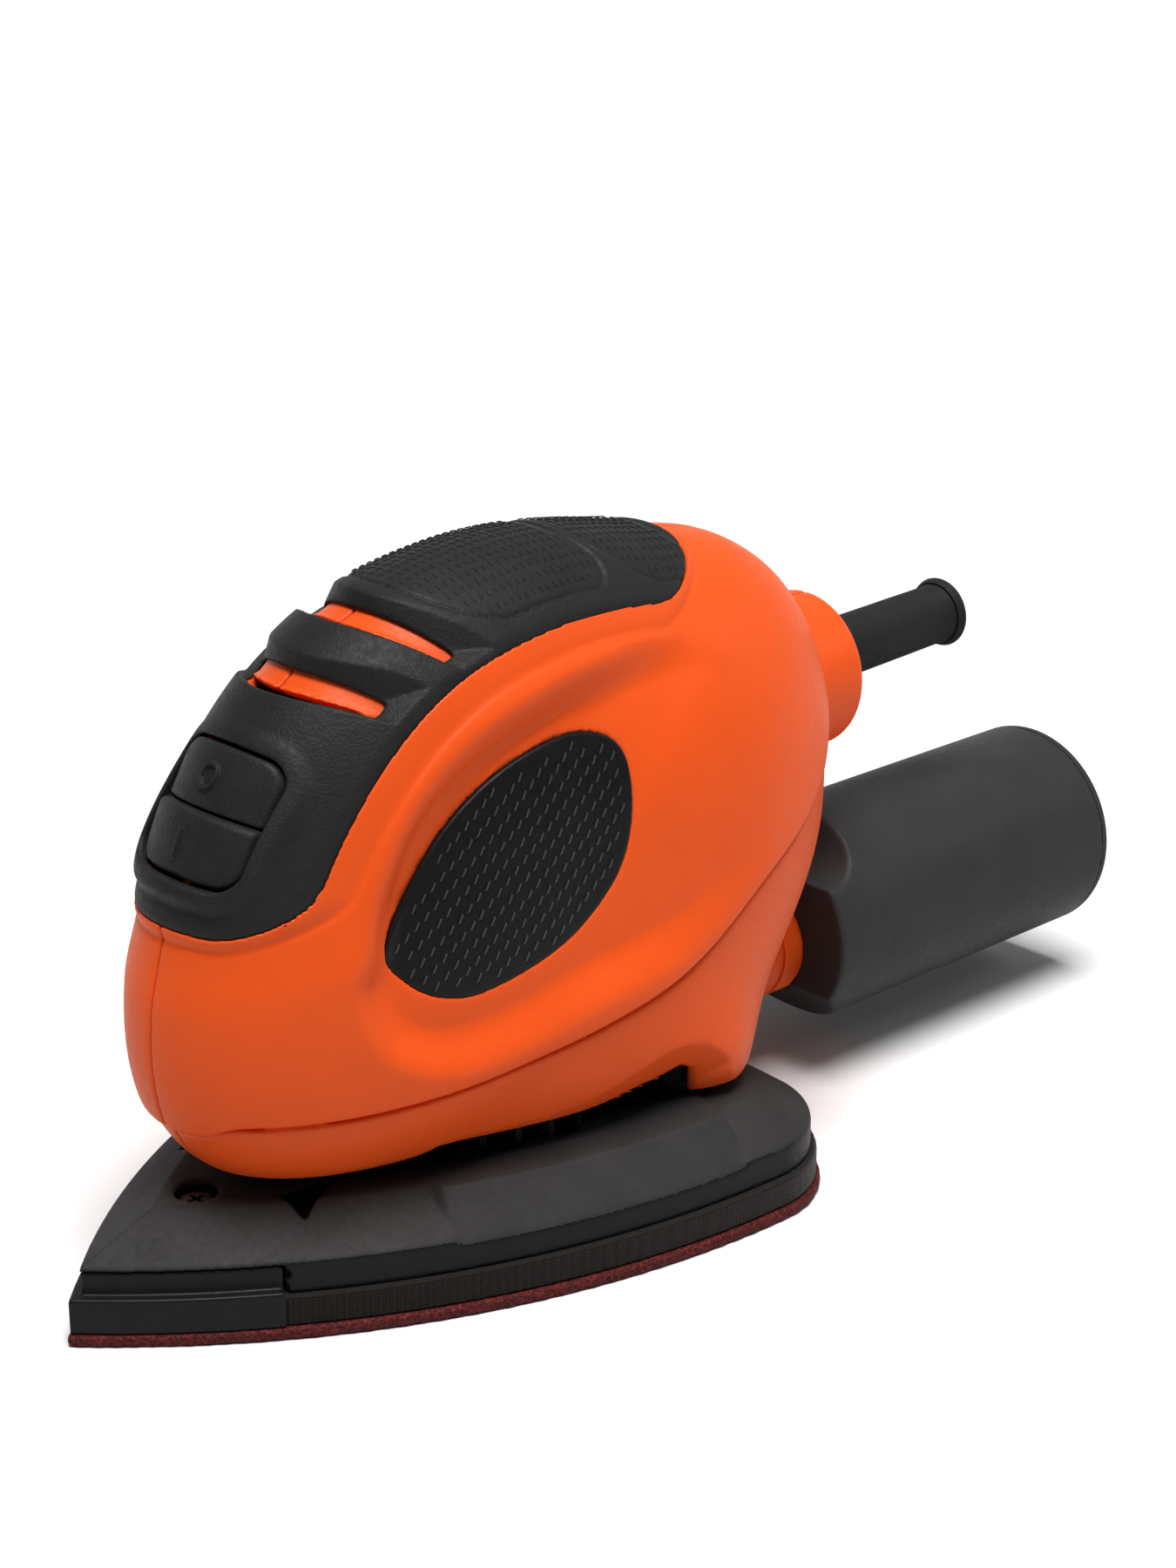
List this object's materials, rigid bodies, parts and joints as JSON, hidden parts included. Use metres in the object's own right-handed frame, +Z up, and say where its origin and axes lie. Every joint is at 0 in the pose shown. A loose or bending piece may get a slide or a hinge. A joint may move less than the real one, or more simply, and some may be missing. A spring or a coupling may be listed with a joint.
{
  "type": "detail sander",
  "caption": "Detail sander with an iron-shaped orbital platen, clamshell housing, rocker switch, dust port and pull-off dust canister.",
  "frame": {"origin": "on the sanding face, under the motor's axis", "axes": "+X to the rear along the canister, +Y to the tool's right, +Z up out of the sanding face; the tip points to -X"},
  "size_m": [0.2452, 0.101, 0.1198],
  "materials": {
    "orange_plastic": "fine moulded grain",
    "soft_grip": "fine leather grain overmould",
    "dark_plastic": "satin moulded",
    "platen_plastic": "coarse moulded grain",
    "black_rubber": "matt",
    "pad_weave": "fine woven side",
    "abrasive": "bonded red grit",
    "steel": "ground",
    "zinc_steel": "zinc plated sheet",
    "magnet": "sintered",
    "copper": "enamelled wire",
    "brass": "stamped",
    "carbon": "pressed carbon",
    "insulator": "moulded",
    "board": "solder mask",
    "film": "film capacitor",
    "filter_paper": "pleated"
  },
  "bodies": {
    "housing": {"housing_left": "orange_plastic", "housing_right": "orange_plastic", "top_grip": "soft_grip", "grip_insert_left": "soft_grip", "grip_insert_right": "soft_grip", "housing_screws": "steel", "fan_shroud": "dark_plastic", "dust_port": "orange_plastic", "port_seal": "black_rubber", "cord_sleeve": "black_rubber", "cord_clamp": "dark_plastic", "clamp_screws": "steel", "switch_block": "dark_plastic", "circuit_board": "board", "capacitor": "film", "motor_can": "zinc_steel", "magnets": "magnet", "motor_end_cap": "insulator", "brush_holders": "brass", "brushes": "carbon", "brush_springs": "steel", "upper_bearing_outer": "steel", "lower_bearing_outer": "steel", "rocker_pin": "steel"},
    "rotor": {"motor_shaft": "steel", "armature_core": "zinc_steel", "windings": "copper", "commutator": "copper", "upper_bearing_inner": "steel", "lower_bearing_inner": "steel", "dust_fan": "dark_plastic", "counterweight": "brass", "eccentric_pin": "steel", "pin_bearing_inner": "steel"},
    "sanding_platen": {"platen": "platen_plastic", "hook_pad": "pad_weave", "sanding_sheet": "abrasive", "tip_block": "dark_plastic", "tip_screw": "steel", "pin_bearing_outer": "steel", "bearing_retainer": "zinc_steel", "retainer_screws": "steel"},
    "post_front_left": {"post_front_left": "black_rubber"},
    "post_front_right": {"post_front_right": "black_rubber"},
    "post_rear_left": {"post_rear_left": "black_rubber"},
    "post_rear_right": {"post_rear_right": "black_rubber"},
    "rocker": {"switch_rocker": "soft_grip"},
    "canister": {"dust_canister": "dark_plastic"},
    "canister_lid": {"canister_cap": "dark_plastic", "filter_frame": "dark_plastic", "filter_element": "filter_paper"}
  },
  "joints": [
    {"name": "motor_spin", "type": "hinge", "parent": "housing", "child": "rotor", "pos_m": [0, 0, 0.03], "axis": [0, 0, 1], "continuous": true},
    {"name": "platen_orbit", "type": "hinge", "parent": "rotor", "child": "sanding_platen", "pos_m": [0.001, 0, 0.014], "axis": [0, 0, 1], "continuous": true},
    {"name": "post_front_left_sway", "type": "hinge", "parent": "housing", "child": "post_front_left", "pos_m": [-0.0325, -0.009, 0.03], "axis": [0, 0, 1], "continuous": true},
    {"name": "post_front_right_sway", "type": "hinge", "parent": "housing", "child": "post_front_right", "pos_m": [-0.0325, 0.009, 0.03], "axis": [0, 0, 1], "continuous": true},
    {"name": "post_rear_left_sway", "type": "hinge", "parent": "housing", "child": "post_rear_left", "pos_m": [0.027, -0.026, 0.03], "axis": [0, 0, 1], "continuous": true},
    {"name": "post_rear_right_sway", "type": "hinge", "parent": "housing", "child": "post_rear_right", "pos_m": [0.027, 0.026, 0.03], "axis": [0, 0, 1], "continuous": true},
    {"name": "switch_rock", "type": "hinge", "parent": "housing", "child": "rocker", "pos_m": [-0.0445, 0, 0.081], "axis": [0, -1, 0], "range_deg": [0, 6]},
    {"name": "canister_pull", "type": "slide", "parent": "housing", "child": "canister", "axis": [1, 0, 0], "range_m": [0, 0.03]},
    {"name": "lid_pull", "type": "slide", "parent": "canister", "child": "canister_lid", "axis": [1, 0, 0], "range_m": [0, 0.07]}
  ],
  "couplings": [
    {"joint": "platen_orbit", "follows": "motor_spin", "ratio": -1},
    {"joint": "post_front_left_sway", "follows": "motor_spin", "ratio": 1},
    {"joint": "post_front_right_sway", "follows": "motor_spin", "ratio": 1},
    {"joint": "post_rear_left_sway", "follows": "motor_spin", "ratio": 1},
    {"joint": "post_rear_right_sway", "follows": "motor_spin", "ratio": 1}
  ]
}
